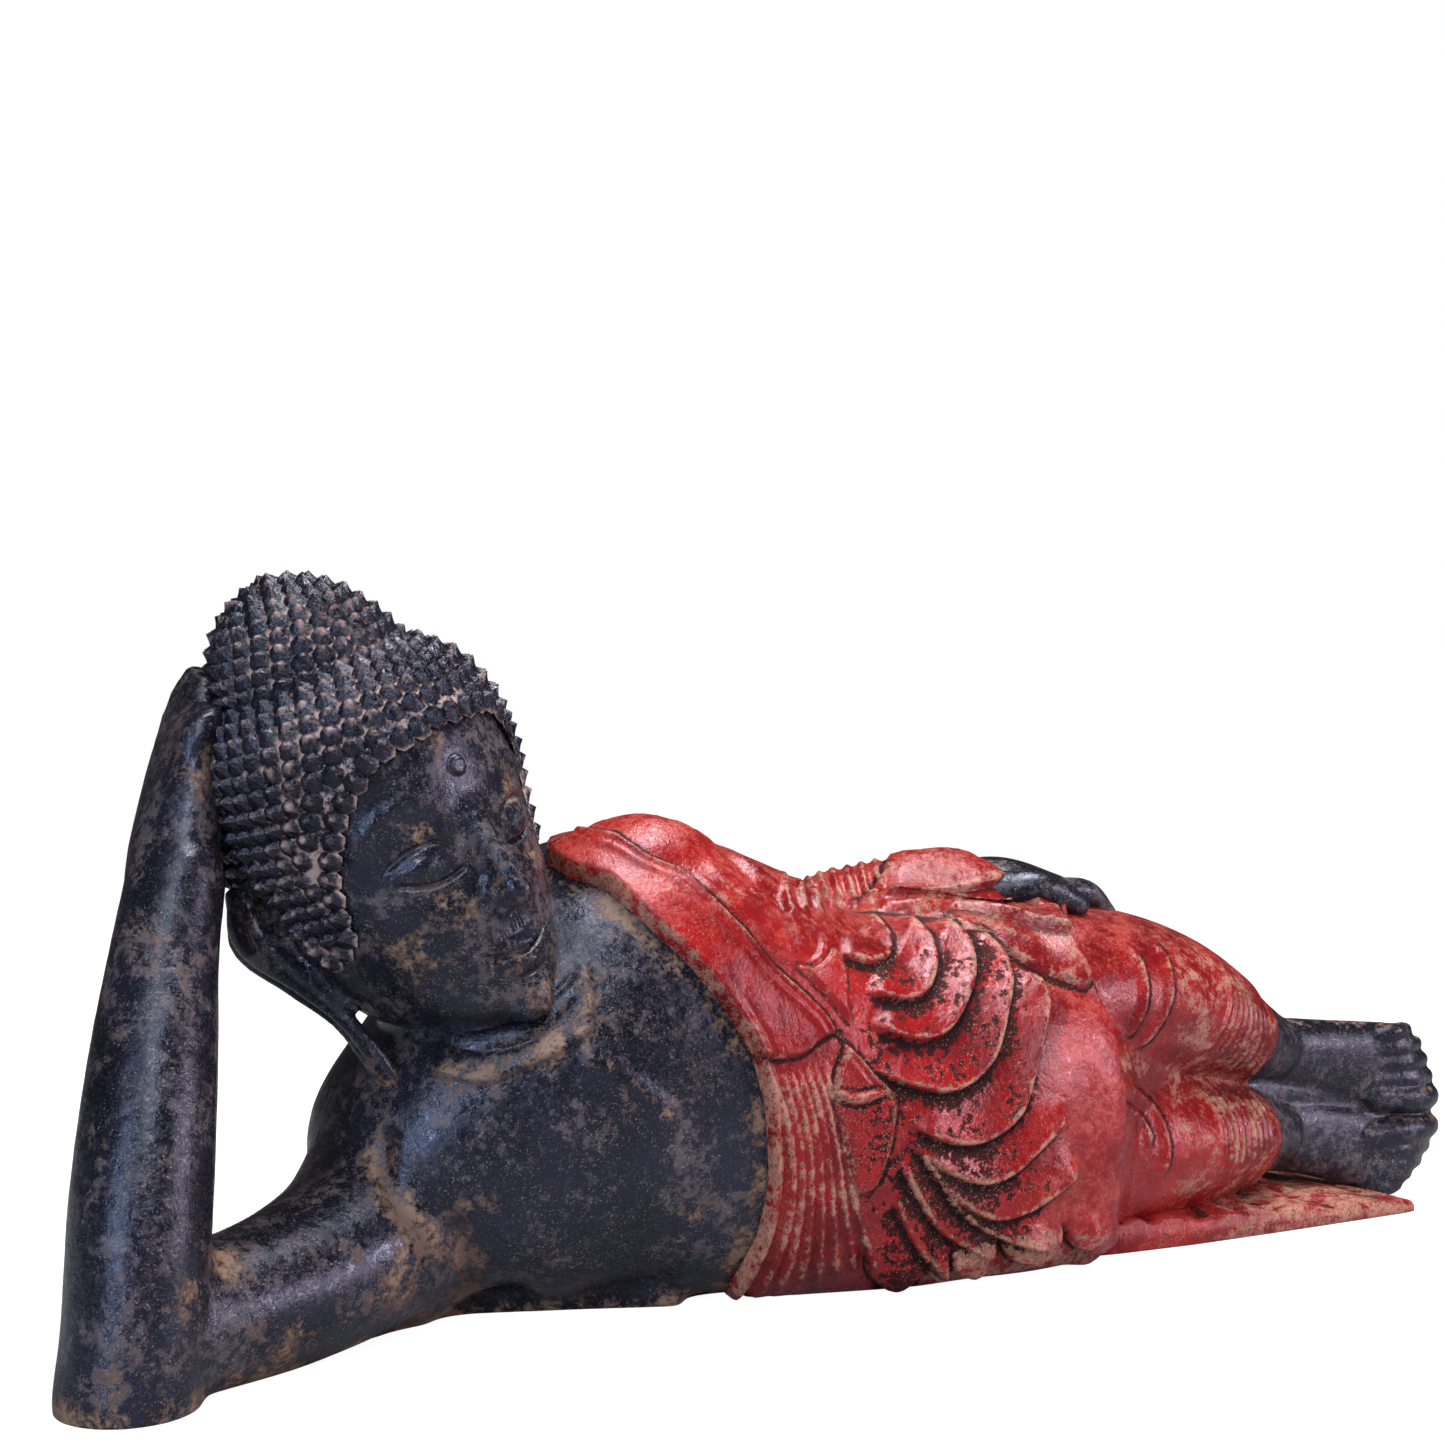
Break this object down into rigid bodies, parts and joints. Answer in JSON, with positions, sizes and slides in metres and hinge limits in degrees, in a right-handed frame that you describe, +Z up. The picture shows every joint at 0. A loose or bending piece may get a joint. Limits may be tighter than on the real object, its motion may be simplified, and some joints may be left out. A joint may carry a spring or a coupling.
{
  "type": "reclining buddha statue",
  "caption": "Carved and lacquered wooden figure of the Buddha lying on his right side, head propped on the raised hand, robe in deep folds over a low base.",
  "frame": {"origin": "on the flat underside, below the middle of the body", "axes": "+X along the body from the head towards the feet, -Y out of the chest towards the viewer, +Z up"},
  "size_m": [1.0324, 0.2693, 0.4416],
  "materials": {
    "lacquered_wood": "worn red and black lacquer over carved wood, satin to glossy"
  },
  "bodies": {
    "root": {"reclining_buddha": "lacquered_wood"}
  },
  "joints": []
}
